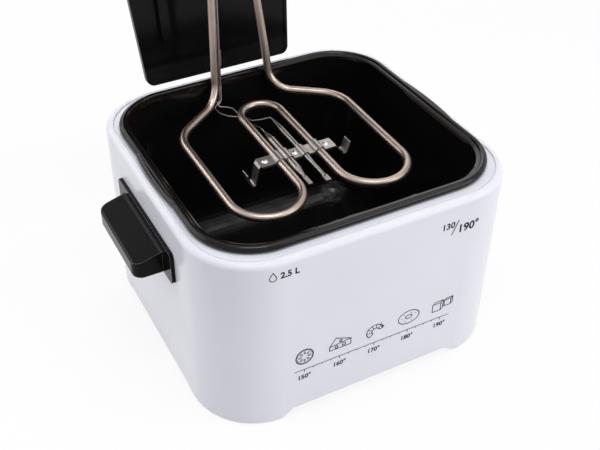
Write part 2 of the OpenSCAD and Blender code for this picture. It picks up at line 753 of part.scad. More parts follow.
module head_base() color("black") difference() {
    head_box() translate([0, head_mid_y, 0])
        slab(head_w - 2 * head_t - 2 * fit_gap, head_d - 2 * head_t - 2 * fit_gap, head_r - head_t - fit_gap,
             base_plate_t);
    leg_hole(bush_r + 0.1);
    wire_hole();
    head_box() translate([0, head_mid_y, -1]) for (x = [-1, 1], y = [-1, 1])
        translate([x * post_x, y * post_y, 0]) cylinder(r = 1.9, h = 6, $fn = small_fn);
    head_box() for (x = [-1, 1])
        translate([x * plate_screw_x, plate_y - 6, -1]) cylinder(r = 1.7, h = 6, $fn = small_fn);
    head_box() translate([switch_x, switch_y, -1]) cylinder(r = plunger_r + run_gap, h = 6, $fn = small_fn);
}

module head_screws() color("silver") head_box() {
    translate([0, head_mid_y, 0]) for (x = [-1, 1], y = [-1, 1])
        translate([x * post_x, y * post_y, 0]) screw(1.6, 3, 1.6, head_screw_len);
    for (x = [-1, 1]) translate([x * plate_screw_x, plate_y - 6, -3]) screw(1.6, 3, 1.6, 8);
}

// The hanging plate with its raised edge, its two guide ribs and the foot that is screwed to the head
module plate_outline(inset) {
    half = plate_w / 2;
    high = plate_top + 4;
    top = half + plate_close * (high - plate_z);
    r = plate_r - inset;
    intersection() {
        polygon([[-half + inset, plate_z + inset], [half - inset, plate_z + inset], [top - inset, high],
                 [-top + inset, high]]);
        union() {
            translate([-top, plate_z + inset + r]) square([2 * top, high - plate_z - inset - r]);
            translate([-half + inset + r, plate_z + inset]) square([2 * (half - inset - r), r + 1]);
            for (s = [-1, 1])
                translate([s * (half - inset - r + 0.4), plate_z + inset + r])
                    circle(r = r, $fn = small_fn);
        }
    }
}

module slide_plate() color("black") difference() {
    union() {
        head_frame() translate([0, plate_y + plate_t, 0]) rotate([90, 0, 0])
            linear_extrude(plate_t - 1.2) plate_outline(0);
        head_frame() translate([0, plate_y + plate_t - 1, 0]) rotate([90, 0, 0])
            linear_extrude(plate_t - 1) difference() {
                plate_outline(0);
                plate_outline(2.6);
            }
        for (x = [-1, 1])
            head_frame() translate([x * rib_x - rib_w / 2, plate_y - rib_h, rib_low])
                cube([rib_w, rib_h + 2, plate_top - rib_low]);
        head_box() translate([-plate_foot, plate_y - 12, -3]) cube([2 * plate_foot, 14, 3]);
    }
    head_box() translate([-100, -50, 0]) cube([200, 200, 40]);
    for (x = [-1, 1]) head_box() translate([x * plate_screw_x, plate_y - 6, -5])
        cylinder(r = 1.7, h = 8, $fn = small_fn);
}

module dial_ring() color("silver") head_box() translate([0, knob_y, head_h]) difference() {
    cylinder(r = dial_r, h = dial_t, $fn = round_fn);
    translate([0, 0, -1]) cylinder(r = shaft_r + 0.4, h = 4, $fn = small_fn);
}

module temperature_knob() color("dimgray") head_box() translate([0, knob_y, head_h + dial_t + 0.4])
    difference() {
    union() {
        cylinder(r1 = knob_d / 2, r2 = knob_d / 2 - 1.5, h = knob_h - 2, $fn = round_fn);
        translate([0, 0, knob_h - 2])
            cylinder(r1 = knob_d / 2 - 1.5, r2 = knob_d / 2 - 3.5, h = 2, $fn = round_fn);
    }
    for (i = [0:17]) rotate([0, 0, i * 20])
        translate([knob_d / 2 + 0.9, 0, 3]) cylinder(r = 2.4, h = knob_h, $fn = small_fn);
    translate([0, 0, -1]) cylinder(r = shaft_r, h = knob_h - 3, $fn = small_fn);
    rotate([0, 0, 90]) translate([knob_d / 2 - 12, -0.8, knob_h - 0.8]) cube([7, 1.6, 2]);
}

module knob_shaft() color("silver") head_box()
    translate([0, knob_y, head_h - head_t - 8])
        cylinder(r = shaft_r, h = head_t + 8 + dial_t + 0.4 + knob_h - 4, $fn = small_fn);

module thermostat_body() color("tan") head_box() translate([0, knob_y, head_h - head_t - thermo_h])
    difference() {
    union() {
        cylinder(r = thermo_r, h = thermo_h - 2, $fn = round_fn);
        cylinder(r = 8, h = thermo_h, $fn = small_fn);
        for (s = [-1, 1]) translate([s * 9 - 3, thermo_r - 4, -5]) cube([6, 0.8, 6]);
    }
    translate([0, 0, thermo_h - 9]) cylinder(r = shaft_r + run_gap, h = 12, $fn = small_fn);
}

module lamp(s) head_box() translate([s * lamp_x, lamp_y, 0]) {
    translate([0, 0, head_h - head_t - 8]) cylinder(r = lamp_r, h = head_t + 8, $fn = small_fn);
    translate([0, 0, head_h]) intersection() {
        cylinder(r = lamp_r + 1, h = 4, $fn = small_fn);
        translate([0, 0, -6.5]) sphere(r = 9, $fn = small_fn);
    }
}

module power_lamp() color("green") lamp(-1);
module heating_lamp() color("red") lamp(1);

module reset_button() color("red") head_box() {
    translate([reset_x, head_mid_y + head_d / 2 - 7, reset_z]) rotate([-90, 0, 0])
        cylinder(r = reset_r, h = 9.5, $fn = small_fn);
}

module cutout_body() color("tan") head_box()
    translate([reset_x, head_mid_y + head_d / 2 - cutout_h - 3.5, reset_z]) rotate([-90, 0, 0])
        difference() {
        cylinder(r = cutout_r, h = cutout_h, $fn = small_fn);
        translate([0, 0, cutout_h - 9.5]) cylinder(r = reset_r + run_gap, h = 12, $fn = small_fn);
    }

module safety_switch() color("dimgray") head_box()
    translate([switch_x - switch_w / 2, switch_y - switch_d / 2, base_plate_t]) difference() {
        cube([switch_w, switch_d, box_h]);
        translate([switch_w / 2, switch_d / 2, -1])
            cylinder(r = plunger_r + run_gap, h = 9, $fn = small_fn);
    }

module safety_plunger() color("orange") head_box()
    translate([switch_x, switch_y, -plunger_out])
        cylinder(r = plunger_r, h = plunger_out + base_plate_t + 3, $fn = small_fn);

module terminal_block() color("ivory") head_box() translate([block_x, 22, base_plate_t]) difference() {
    cube([block_w, block_d, box_h]);
    for (x = [-1:1]) translate([block_w / 2 + x * block_pitch, block_d / 2, 6])
        cylinder(r = 2, h = box_h, $fn = small_fn);
}

module cord_gland() color("black") head_box() translate([gland_x, head_mid_y + head_d / 2, gland_z])
    rotate([-90, 0, 0]) difference() {
    union() {
        cylinder(r = gland_r + 2, h = 2.5, $fn = small_fn);
        translate([0, 0, 2.5])
            cylinder(r1 = gland_r + 2, r2 = gland_r, h = gland_out - 2.5, $fn = small_fn);
        translate([0, 0, -head_t - 4]) cylinder(r = gland_r, h = head_t + 4, $fn = small_fn);
        translate([0, 0, -head_t - 4]) cylinder(r = gland_r + 2, h = 4, $fn = 6);
    }
    translate([0, 0, -10]) cylinder(r = gland_bore, h = 20, $fn = small_fn);
}

outer_body();
base_plate();
base_screws();
foot_pads();
pan();
left_handle();
right_handle();
handle_screws();
head_guide();
guide_screws();
heating_element();
element_flange();
leg_bushings();
clamp_upper();
clamp_lower();
clamp_rivets();
thermostat_bulb();
cutout_bulb();
thermostat_capillary();
cutout_capillary();
capillary_clip();
head_shell();
head_base();
head_screws();
slide_plate();
dial_ring();
temperature_knob();
knob_shaft();
thermostat_body();
power_lamp();
heating_lamp();
reset_button();
cutout_body();
safety_switch();
safety_plunger();
terminal_block();
cord_gland();
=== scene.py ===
import math
import bpy
from mathutils import Matrix, Vector


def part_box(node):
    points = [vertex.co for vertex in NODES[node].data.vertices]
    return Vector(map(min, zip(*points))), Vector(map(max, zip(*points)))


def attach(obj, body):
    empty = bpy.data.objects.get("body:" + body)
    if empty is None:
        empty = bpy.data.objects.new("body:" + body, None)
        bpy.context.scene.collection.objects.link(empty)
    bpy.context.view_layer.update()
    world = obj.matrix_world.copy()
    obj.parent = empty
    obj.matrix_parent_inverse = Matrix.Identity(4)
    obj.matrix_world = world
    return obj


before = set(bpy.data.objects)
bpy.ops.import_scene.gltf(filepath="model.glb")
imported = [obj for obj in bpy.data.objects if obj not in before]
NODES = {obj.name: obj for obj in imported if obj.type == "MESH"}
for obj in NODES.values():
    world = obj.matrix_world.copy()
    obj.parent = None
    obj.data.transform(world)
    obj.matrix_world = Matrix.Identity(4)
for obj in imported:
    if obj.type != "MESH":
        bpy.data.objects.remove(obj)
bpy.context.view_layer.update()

SCENE = bpy.context.scene
MM = 0.001


def in_mm(box):
    """A box of the frame, its two corners in mm."""
    return [[c * 1000 for c in corner] for corner in box]


HOUSING = in_mm(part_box("outer_body"))
MID_Y = -(HOUSING[0][1] + HOUSING[1][1]) / 2      # the origin lies this far behind its middle
HALF_W = HOUSING[1][0]
HALF_D = (HOUSING[1][1] - HOUSING[0][1]) / 2
CORNER = 50.0          # radius of the housing's upright corners


def at(x, y, z):
    """A point given from the middle of the housing, in mm, in the shared frame."""
    return Vector((x * MM, (y - MID_Y) * MM, z * MM))


# ---------------------------------------------------------------- nodes of a material
def feed(tree, socket, value):
    """Links a socket to another node's output, or gives it a number or a colour."""
    if isinstance(value, bpy.types.NodeSocket):
        tree.links.new(value, socket)
    else:
        socket.default_value = (*value, 1) if isinstance(value, tuple) else value


def add(tree, kind, *first, **named):
    """A new node, its inputs fed in their order or by name."""
    n = tree.nodes.new(kind)
    for socket, value in zip(n.inputs, first):
        feed(tree, socket, value)
    for name, value in named.items():
        feed(tree, n.inputs[name.replace("_", " ")], value)
    return n


MIX_FACTOR, MIX_A, MIX_B, MIX_RESULT = 0, 6, 7, 2      # a Mix node's sockets for colours
EDGE = 0.0006          # plastic edges are paler this far from an edge, in m: rubbed wear, and on the handle a painted highlight


class Mat:
    """A material with one shader, and helpers for the nodes in front of it."""

    def __init__(self, name):
        self.mat = bpy.data.materials.new(name)
        self.mat.use_nodes = True
        self.tree = self.mat.node_tree
        self.tree.nodes.clear()
        self.shader = add(self.tree, "ShaderNodeBsdfPrincipled")
        add(self.tree, "ShaderNodeOutputMaterial", self.shader.outputs[0])
        self.coords = add(self.tree, "ShaderNodeTexCoord").outputs["Object"]

    def look(self, **inputs):
        """Feeds the shader's own inputs, by name."""
        for name, value in inputs.items():
            feed(self.tree, self.shader.inputs[name.replace("_", " ")], value)

    def noise(self, scale, detail, rough=0.5, streak=None):
        """Noise in object space; streak scales it apart along each axis."""
        where = self.coords
        if streak:
            stretch = add(self.tree, "ShaderNodeMapping", where)
            stretch.inputs["Scale"].default_value = streak
            where = stretch.outputs[0]
        n = add(self.tree, "ShaderNodeTexNoise", Vector=where, Scale=scale, Detail=detail, Roughness=rough)
        return n.outputs["Fac"]

    def ramp(self, fac, dark, light, low=0.3, high=0.7):
        """From one colour to the other as fac goes from low to high."""
        n = add(self.tree, "ShaderNodeValToRGB", fac)
        for stop, place, colour in zip(n.color_ramp.elements, (low, high), (dark, light)):
            stop.position = place
            stop.color = (*colour, 1)
        return n.outputs[0]

    def span(self, fac, start, end, low=0.0, high=1.0):
        """A number from start to end as fac goes from low to high."""
        n = add(self.tree, "ShaderNodeMapRange", fac,
                From_Min=low, From_Max=high, To_Min=start, To_Max=end)
        return n.outputs[0]

    def mix(self, fac, a, b):
        """Colour a where fac is 0 and b where it is 1."""
        n = add(self.tree, "ShaderNodeMix")
        n.data_type = "RGBA"
        for place, value in ((MIX_FACTOR, fac), (MIX_A, a), (MIX_B, b)):
            feed(self.tree, n.inputs[place], value)
        return n.outputs[MIX_RESULT]

    def math(self, operation, a, b):
        n = add(self.tree, "ShaderNodeMath", a, b)
        n.operation = operation
        return n.outputs[0]

    def bump(self, height, strength, distance):
        n = add(self.tree, "ShaderNodeBump", Strength=strength, Distance=distance, Height=height)
        return n.outputs[0]

    # The edge mask carries rubbed wear, and on the handle a painted highlight.
    def worn(self):
        """0 on flat faces and about 1 along edges, from the shader's own bevel."""
        bevel = add(self.tree, "ShaderNodeBevel", Radius=EDGE)
        bevel.samples = 4
        normal = add(self.tree, "ShaderNodeNewGeometry").outputs["Normal"]
        facing = add(self.tree, "ShaderNodeVectorMath", bevel.outputs[0], normal)
        facing.operation = "DOT_PRODUCT"
        return self.span(facing.outputs["Value"], 1.0, 0.0, 0.85, 1.0)


# ---------------------------------------------------------------- materials
# Noise scales, in waves per metre
CLOUD, PEEL, DUST = 9, 260, 1400       # lacquer and enamel: cloudiness, orange peel, dust
HEAT, STAIN = 26, 90                   # bare metal: heat colour, spots
DRIFT = 14                             # plastic: slow change of colour


def coated(name, colour, tint, rough, peel, dust, spec=0.5):
    """Lacquer: slight cloudiness, fine orange peel and faint dust in the gloss."""
    m = Mat(name)
    cloud = m.noise(CLOUD, 3)
    gloss = m.span(cloud, rough * 0.85, rough * 1.15)
    specks = m.span(m.noise(DUST, 2), 0.0, dust, 0.55, 0.8)
    m.look(Base_Color=m.ramp(cloud, colour, tint), Roughness=m.math("ADD", gloss, specks),
           Normal=m.bump(m.noise(PEEL, 3, 0.6), peel, 0.0002), Specular_IOR_Level=spec)
    return m


def metal(name, dark, light, rough, scale, bump, streak=(1, 1, 1), aniso=0.0, spots=None):
    """Bare metal: drawn streaks, slow heat colour, fine scratches and, if given, spots."""
    m = Mat(name)
    heat = m.noise(HEAT, 4, 0.55)
    fine = m.noise(scale, 4, 0.6, streak)
    scratch = tuple(c * 0.62 for c in dark)
    colour = m.mix(m.span(fine, 0.0, 0.35, 0.45, 0.8), m.ramp(heat, dark, light, 0.25, 0.75), scratch)
    if spots:
        colour = m.mix(m.span(m.noise(STAIN, 5, 0.7), 0.0, 0.5, 0.56, 0.72), colour, spots)
    m.look(Base_Color=colour, Roughness=m.span(fine, rough * 0.7, rough * 1.35),
           Normal=m.bump(fine, bump, 0.00015), Metallic=1.0, Anisotropic=aniso)
    return m


def plastic(name, dark, light, rough, grain, depth, edge, spec=0.5, rub_and_highlight=0.01):
    """Moulded plastic: spark-eroded grain, small colour drift and paler edges: rubbed wear, and where they
    are lifted strongly a painted highlight.
    """
    m = Mat(name)
    pits = m.noise(grain, 3, 0.6)
    drift = m.noise(DRIFT, 3)
    # paler edge colour: rubbed wear, and a painted highlight where it is lifted strongly
    rubbed_and_highlit = tuple(min(1.0, c * 2.2 + rub_and_highlight) for c in light)
    gloss = m.span(pits, rough * 0.85, rough * 1.2)
    m.look(Base_Color=m.mix(m.math("MULTIPLY", m.worn(), edge), m.ramp(drift, dark, light), rubbed_and_highlit),
           Roughness=m.math("ADD", gloss, m.span(drift, -0.03, 0.03)),
           Normal=m.bump(pits, depth, 0.00012), Specular_IOR_Level=spec)
    return m


def lens(name, dark, light):
    """A coloured lamp cover that lets part of the light through."""
    m = Mat(name)
    n = m.noise(900, 3)
    m.look(Base_Color=m.ramp(n, dark, light), Roughness=m.span(n, 0.06, 0.16),
           Transmission_Weight=0.35, IOR=1.49)
    return m


def black_enamel():
    """The pan's enamel: its rim is browner than its inside, and a little glossier."""
    top = max(v.co.z for v in NODES["pan"].data.vertices)
    rim_from, rim_to = top - 0.009, top - 0.005      # the rim's look begins and is full here
    m = Mat("black_enamel")
    height = add(m.tree, "ShaderNodeSeparateXYZ", m.coords).outputs["Z"]
    rim = m.span(height, 0.0, 1.0, rim_from, rim_to)
    cloud = m.noise(CLOUD, 3)
    inside = m.ramp(cloud, (0.0040, 0.0040, 0.0042), (0.0065, 0.0060, 0.0060))
    brown = m.ramp(cloud, (0.0040, 0.0030, 0.0026), (0.0062, 0.0046, 0.0040))
    m.look(Base_Color=m.mix(rim, inside, brown),
           Roughness=m.math("ADD", m.span(rim, 0.15, 0.10), m.span(cloud, -0.02, 0.03)),
           Normal=m.bump(m.noise(PEEL, 3, 0.6), 0.05, 0.0002), Specular_IOR_Level=0.23)
    return m


def black_ink():
    """Printing ink: fine speckle in its colour, its gloss and its surface."""
    m = Mat("ink")
    n = m.noise(2600, 3, 0.7)
    m.look(Base_Color=m.ramp(n, (0.006, 0.006, 0.009), (0.016, 0.016, 0.021), 0.35),
           Roughness=m.span(n, 0.45, 0.65), Normal=m.bump(n, 0.1, 0.00005), Specular_IOR_Level=0.15)
    return m


def white_mark():
    """The painted pointer on the knob."""
    m = Mat("mark_white")
    n = m.noise(2000, 3, 0.7)
    m.look(Base_Color=m.ramp(n, (0.60, 0.60, 0.60), (0.74, 0.74, 0.74), 0.35),
           Roughness=m.span(n, 0.35, 0.55))
    return m


white = coated("white_lacquer", (0.735, 0.735, 0.80), (0.765, 0.765, 0.825),
               rough=0.20, peel=0.04, dust=0.10, spec=0.28)
guide_white = coated("white_guide", (0.72, 0.72, 0.77), (0.75, 0.75, 0.80),
                     rough=0.28, peel=0.06, dust=0.10)
gloss_black = coated("gloss_black", (0.0035, 0.0035, 0.0038), (0.0055, 0.0053, 0.0055),
                     rough=0.14, peel=0.03, dust=0.16, spec=0.13)
enamel = black_enamel()

# The handle's strongly lifted pale edges are a painted highlight along its edges.
handle_black = plastic("handle_black", (0.0036, 0.0032, 0.0034), (0.0055, 0.0050, 0.0053),
                       rough=0.12, grain=1100, depth=0.05, edge=1.0, spec=0.08, rub_and_highlight=0.16)
knob_black = plastic("knob_black", (0.016, 0.016, 0.017), (0.022, 0.022, 0.024),
                     rough=0.40, grain=1200, depth=0.25, edge=0.4, spec=0.2)
rubber = plastic("rubber", (0.012, 0.012, 0.012), (0.022, 0.022, 0.022),
                 rough=0.75, grain=700, depth=0.5, edge=0.2)
bakelite = plastic("bakelite", (0.10, 0.045, 0.022), (0.16, 0.075, 0.035),
                   rough=0.45, grain=900, depth=0.25, edge=0.3)
nylon = plastic("nylon", (0.55, 0.52, 0.42), (0.64, 0.61, 0.50),
                rough=0.45, grain=900, depth=0.15, edge=0.1)
ceramic = plastic("ceramic", (0.66, 0.62, 0.52), (0.76, 0.72, 0.63),
                  rough=0.6, grain=1200, depth=0.2, edge=0.1)
red_gloss = plastic("red_gloss", (0.42, 0.016, 0.012), (0.52, 0.024, 0.018),
                    rough=0.2, grain=600, depth=0.05, edge=0.1)

grey_sheet = metal("grey_sheet", (0.20, 0.20, 0.21), (0.30, 0.30, 0.31),
                   rough=0.42, scale=120, bump=0.06)
zinc = metal("zinc", (0.46, 0.46, 0.475), (0.62, 0.62, 0.62),
             rough=0.30, scale=500, bump=0.08)
champagne = metal("champagne_steel", (0.305, 0.243, 0.208), (0.42, 0.348, 0.302),
                  rough=0.33, scale=900, bump=0.06, streak=(1, 0.12, 1), spots=(0.25, 0.19, 0.155))
stamped = metal("stamped_steel", (0.24, 0.215, 0.205), (0.37, 0.345, 0.33),
                rough=0.36, scale=700, bump=0.09, streak=(0.3, 1, 1), spots=(0.19, 0.165, 0.15))
bulb_metal = metal("bulb_metal", (0.19, 0.165, 0.155), (0.31, 0.28, 0.265),
                   rough=0.32, scale=700, bump=0.08, streak=(1, 0.2, 1), spots=(0.14, 0.115, 0.105))
wire_metal = metal("wire_metal", (0.17, 0.15, 0.14), (0.28, 0.26, 0.245),
                   rough=0.34, scale=900, bump=0.04, streak=(1, 1, 0.2))
brass = metal("brass", (0.50, 0.36, 0.14), (0.70, 0.53, 0.25),
              rough=0.28, scale=500, bump=0.08, streak=(1, 1, 6))
dial_metal = metal("dial_metal", (0.33, 0.33, 0.345), (0.45, 0.45, 0.46),
                   rough=0.36, scale=260, bump=0.06, aniso=0.3)

green_lens = lens("green_lens", (0.01, 0.22, 0.05), (0.03, 0.34, 0.09))
red_lens = lens("red_lens", (0.36, 0.012, 0.008), (0.50, 0.03, 0.02))
ink = black_ink()
mark = white_mark()

LOOK = {
    "outer_body": white, "base_plate": grey_sheet, "base_screws": zinc, "foot_pads": rubber, "pan": enamel,
    "left_handle": handle_black, "right_handle": handle_black, "handle_screws": zinc,
    "head_guide": guide_white, "guide_screws": zinc, "heating_element": champagne, "element_flange": zinc,
    "leg_bushings": brass, "clamp_upper": stamped, "clamp_lower": stamped, "clamp_rivets": zinc,
    "thermostat_bulb": bulb_metal, "cutout_bulb": bulb_metal, "thermostat_capillary": wire_metal,
    "cutout_capillary": wire_metal, "capillary_clip": wire_metal, "head_shell": gloss_black,
    "head_base": gloss_black, "head_screws": zinc, "slide_plate": gloss_black, "dial_ring": dial_metal,
    "temperature_knob": knob_black, "knob_shaft": zinc, "thermostat_body": bakelite,
    "power_lamp": green_lens, "heating_lamp": red_lens, "reset_button": red_gloss,
    "cutout_body": bakelite, "safety_switch": bakelite, "safety_plunger": nylon,
    "terminal_block": ceramic, "cord_gland": rubber,
}
for name, look in LOOK.items():
    o = NODES[name]
    o.data.materials.clear()
    o.data.materials.append(look.mat)


# ---------------------------------------------------------------- flat shapes, in mm
# Each is a pair: its points (across, up) and its faces
def stroke(points, width, closed=False):
    """A line of even width with mitred joins."""
    p = [Vector(q) for q in points]
    n = len(p)
    left, right = [], []
    for i in range(n):
        before = (p[i] - p[i - 1]).normalized() if i or closed else None
        after = (p[(i + 1) % n] - p[i]).normalized() if i < n - 1 or closed else None
        before, after = before or after, after or before
        along = (before + after).normalized()
        side = Vector((-along.y, along.x))
        square = Vector((-before.y, before.x))
        grow = width / 2 / max(0.5, abs(side.dot(square)))      # a sharp joint is cut short
        left.append(p[i] + side * grow)
        right.append(p[i] - side * grow)
    last = n if closed else n - 1
    faces = [(i, n + i, n + (i + 1) % n, (i + 1) % n) for i in range(last)]
    return [tuple(v) for v in left + right], faces


def ring(cx, cy, rx, ry=None, start=0.0, end=360.0, steps=28, turn=0.0):
    """The points of an ellipse, or of an arc of one, turned about its middle."""
    ry = rx if ry is None else ry
    t = math.radians(turn)
    points = []
    for i in range(steps + (0 if end - start >= 360 else 1)):
        a = math.radians(start + (end - start) * i / steps)
        x, y = rx * math.cos(a), ry * math.sin(a)
        points.append((cx + x * math.cos(t) - y * math.sin(t), cy + x * math.sin(t) + y * math.cos(t)))
    return points


def polar(r, degrees, squash=1.0, cx=0.0, cy=0.0):
    """The point at an angle on a circle, or on one squashed from above."""
    a = math.radians(degrees)
    return cx + r * math.cos(a), cy + squash * r * math.sin(a)


def joined(shapes):
    points, faces = [], []
    for p, f in shapes:
        first = len(points)
        points += p
        faces += [tuple(i + first for i in face) for face in f]
    return points, faces


def moved(shape, dx, dy):
    points, faces = shape
    return [(x + dx, y + dy) for x, y in points], faces


def scaled(shape, k):
    points, faces = shape
    return [(x * k, y * k) for x, y in points], faces


def turned(shape, a):
    points, faces = shape
    c, s = math.cos(a), math.sin(a)
    return [(x * c - y * s, x * s + y * c) for x, y in points], faces


def words(text, size, bold):
    """Plain numbers and their units, centred; bold says how far their outlines are grown."""
    curve = bpy.data.curves.new("digits", "FONT")
    curve.body = text
    curve.size = size
    curve.align_x = "CENTER"
    curve.align_y = "CENTER"
    curve.resolution_u = 3
    curve.offset = bold
    o = bpy.data.objects.new("digits", curve)
    SCENE.collection.objects.link(o)
    bpy.context.view_layer.update()
    me = bpy.data.meshes.new_from_object(o)
    shape = [(v.co.x, v.co.y) for v in me.vertices], [tuple(f.vertices) for f in me.polygons]
    bpy.data.objects.remove(o)
    bpy.data.meshes.remove(me)
    bpy.data.curves.remove(curve)
    return shape


# ---------------------------------------------------------------- the signs of the scale
LINE = 0.62            # width of a drawn line


def slice_round():
    """A round slice with a ring of seeds."""
    seeds = [stroke(ring(*polar(3.0, 45 * k), 0.45, 0.9, steps=10, turn=45 * k - 90), LINE * 0.7, True)
             for k in range(8)]
    rind = stroke(ring(0, 0, 5.6, steps=36), LINE, True)
    inner_rind = stroke(ring(0, 0, 4.9, steps=36), LINE * 0.6, True)
    return joined([rind, inner_rind] + seeds)


def wedge():
    """A wedge with three holes."""
    edge = [(-7, -3.5), (7, -3.5), (7, 1), (-3, 5.2), (-7, -0.6)]
    holes = ((-2.5, -2, 0.9), (2.4, -1.6, 1.1), (0.2, 1.9, 0.8))
    return joined([stroke(edge, LINE, True), stroke([(-7, -0.6), (7, 1)], LINE)]
                  + [stroke(ring(*hole), LINE, True) for hole in holes])


def crescent():
    """A curled, prawn-like shape in segments, with two feelers."""
    outer = ring(0, -1.2, 5.6, 5.0, start=10, end=230, steps=26)
    inner = ring(0.4, -1.2, 2.5, 2.2, start=10, end=230, steps=20)
    ribs = [stroke([polar(2.5, a, squash=0.88, cx=0.4, cy=-1.2),
                    polar(5.6, a, squash=5.0 / 5.6, cx=0.0, cy=-1.2)], LINE * 0.8)
            for a in (45, 80, 115, 150, 185)]
    feelers = [stroke(ring(8.2, 3.2, 4.4, 3.0, start=150, end=245, steps=10), LINE * 0.7),
               stroke(ring(9.0, 0.8, 4.6, 2.2, start=140, end=215, steps=8), LINE * 0.7)]
    ends = [stroke([inner[0], outer[0]], LINE), stroke([inner[-1], outer[-1]], LINE)]
    return joined([stroke(outer, LINE), stroke(inner, LINE)] + ribs + feelers + ends)


def torus():
    """A ring-shaped fritter with a few sprinkles."""
    sprinkles = []
    for r, a in ((4.6, 20), (4.2, 75), (4.8, 130), (4.4, 185), (4.9, 240), (4.3, 300)):
        x, y = polar(r, a, 0.75)
        tip = (x + 0.9 * math.cos(a), y + 0.7 * math.sin(a))      # a as radians: each lies its own way
        sprinkles.append(stroke([(x, y), tip], LINE * 0.8))
    outer = stroke(ring(0, 0, 7.2, 5.0, steps=40), LINE, True)
    inner = stroke(ring(0, 0.3, 2.3, 1.3), LINE, True)
    return joined([outer, inner] + sprinkles)


def cube(cx, cy, h):
    """A cube of half width h, seen from the front and a little from above."""
    back = 0.55 * h        # how far the back stands to the right and up
    front = [(cx - h, cy - h), (cx + h, cy - h), (cx + h, cy + h), (cx - h, cy + h)]
    behind = [(cx - h, cy + h), (cx - h + back, cy + h + back), (cx + h + back, cy + h + back),
              (cx + h + back, cy - h + back), (cx + h, cy - h)]
    edge = [(cx + h, cy + h), (cx + h + back, cy + h + back)]
    return [stroke(front, LINE, True), stroke(behind, LINE), stroke(edge, LINE)]


def cubes():
    """Two small cubes side by side."""
    return joined(cube(-3.4, -1.2, 2.9) + cube(4.3, 0.2, 2.3))


# ---------------------------------------------------------------- printed marks
INK = 0.06             # the print stands this far off the lacquer


def front_y(x):
    """Where the housing's front lies at x, round its corners too."""
    flat = HALF_W - CORNER
    over = max(0.0, abs(x) - flat)
    return -HALF_D + CORNER - math.sqrt(max(0.0, CORNER ** 2 - over ** 2))


def printed(name, shape, wrap, body, look):
    """A thin print: a flat shape is wrapped on to its surface."""
    points, faces = shape
    me = bpy.data.meshes.new(name)
    me.from_pydata([wrap(x, y) for x, y in points], [], faces)
    me.materials.append(look.mat)
    o = bpy.data.objects.new(name, me)
    SCENE.collection.objects.link(o)
    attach(o, body)


def on_front(x, z):
    return at(x, front_y(x) - INK, z)


# The temperature scale: a sign over each number, and a rule with small steps between
SIGNS = (slice_round, wedge, crescent, torus, cubes)
PITCH = 29.0           # from one number to the next
COLUMNS = [(i - 2) * PITCH for i in range(len(SIGNS))]
SIGN_Z, RULE_Z, DIGIT_Z = 58.0, 45.0, 37.5
SIGN_SCALE = 1.25
RULE_PAST = 8.0        # the rule goes on past the first and last number
LONG_TICK, SHORT_TICK = 2.6, 1.4
FIRST_TEMPERATURE, TEMPERATURE_STEP = 150, 10

rule = [stroke([(COLUMNS[0] - RULE_PAST, RULE_Z), (COLUMNS[-1] + RULE_PAST, RULE_Z)], LINE)]
rule += [stroke([(x, RULE_Z), (x, RULE_Z - LONG_TICK)], LINE) for x in COLUMNS]
steps = [x + k * PITCH / 4 for x in COLUMNS[:-1] for k in (1, 2, 3)]
rule += [stroke([(x, RULE_Z), (x, RULE_Z - SHORT_TICK)], LINE * 0.8) for x in steps]
signs = [moved(scaled(sign(), SIGN_SCALE), x, SIGN_Z) for x, sign in zip(COLUMNS, SIGNS)]
digits = [moved(words(f"{FIRST_TEMPERATURE + i * TEMPERATURE_STEP}\u00b0", size=5.8, bold=0.2), x, DIGIT_Z)
          for i, x in enumerate(COLUMNS)]
printed("print_signs", joined(signs), on_front, "housing", ink)
printed("print_scale", joined(rule + digits), on_front, "housing", ink)

# A drop and the pan's capacity
NOTE_X, NOTE_Z = -70.0, 141.0
DROP_LEFT = 12         # the drop stands this far left of the number
drop = [(0, 4.2)] + ring(0, -0.7, 2.4, start=155, end=385, steps=18)
note = [moved(stroke(drop, LINE, True), NOTE_X - DROP_LEFT, NOTE_Z),
        moved(words("2.5 L", size=7.0, bold=0.24), NOTE_X, NOTE_Z)]
printed("print_capacity", joined(note), on_front, "housing", ink)

# The ends of the dial once more, large, with a stroke between them
SPAN_X, SPAN_Z = 63.0, 130.0
LOW_LEFT, LOW_UP = 8.5, 3.0            # where the lower number stands from there
HIGH_RIGHT, HIGH_DOWN = 9.0, 2.5       # and the higher one
STROKE_LEFT = 0.5
span = [moved(words("130", size=7.4, bold=0.22), SPAN_X - LOW_LEFT, SPAN_Z + LOW_UP),
        moved(words("190\u00b0", size=9.6, bold=0.28), SPAN_X + HIGH_RIGHT, SPAN_Z - HIGH_DOWN),
        moved(stroke([(-4.5, -5.5), (0.5, 6.0)], 0.9), SPAN_X - STROKE_LEFT, SPAN_Z)]
printed("print_span", joined(span), on_front, "housing", ink)

# The dial's numbers stand round the knob, and the knob has a painted pointer
DIAL = in_mm(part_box("dial_ring"))
DIAL_X, DIAL_Y = (DIAL[0][0] + DIAL[1][0]) / 2, (DIAL[0][1] + DIAL[1][1]) / 2
DIAL_PRINT_Z = DIAL[1][2] + 0.04                          # just off the ring's top
KNOB_TOP = in_mm(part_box("temperature_knob"))[1][2]
POINTER_Z = KNOB_TOP - 0.75                               # in the knob's slot
FIRST_TURN, NEXT_TURN = 45.0, 37.5                        # degrees clockwise to 130, and on to each next
NUMBER_R = 27.2
TICK_IN, TICK_OUT = 22.6, 24.3
POINTER_IN, POINTER_OUT = 9.2, 15.8


def on_dial(x, y):
    return Vector(((DIAL_X + x) * MM, (DIAL_Y + y) * MM, DIAL_PRINT_Z * MM))


def on_knob(x, y):
    return Vector(((DIAL_X + x) * MM, (DIAL_Y + y) * MM, POINTER_Z * MM))


